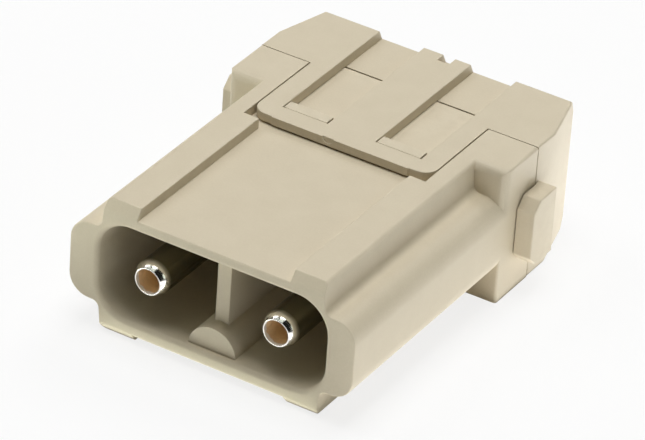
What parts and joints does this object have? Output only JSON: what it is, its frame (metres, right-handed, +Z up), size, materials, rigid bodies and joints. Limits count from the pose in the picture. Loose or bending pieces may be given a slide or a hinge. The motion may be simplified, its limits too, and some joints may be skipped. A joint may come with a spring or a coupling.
{
  "type": "modular connector insert",
  "caption": "Rectangular male power insert for a modular connector frame: moulded hood with guide rails, clipped wire cap, hollow plated pins and axial clamping screws.",
  "frame": {"origin": "middle of the insert's length and width, on the plane that its lower rails rest on", "axes": "+Y from the mating face to the wire side, +Z up through the thickness, +X to the right as seen from the mating side"},
  "size_m": [0.0352, 0.0424, 0.0146],
  "materials": {
    "plastic": "fine moulded grain",
    "silver": "bright silver plate",
    "screw_steel": "machined"
  },
  "bodies": {
    "insert": {"front_body": "plastic", "rear_body": "plastic", "contact_left": "silver", "contact_right": "silver"},
    "screw_left": {"cone_screw_left": "screw_steel"},
    "screw_right": {"cone_screw_right": "screw_steel"}
  },
  "joints": [
    {"name": "screw_left_feed", "type": "slide", "parent": "insert", "child": "screw_left", "axis": [0, 1, 0], "range_m": [0, 0.003]},
    {"name": "screw_right_feed", "type": "slide", "parent": "insert", "child": "screw_right", "axis": [0, 1, 0], "range_m": [0, 0.003]}
  ]
}
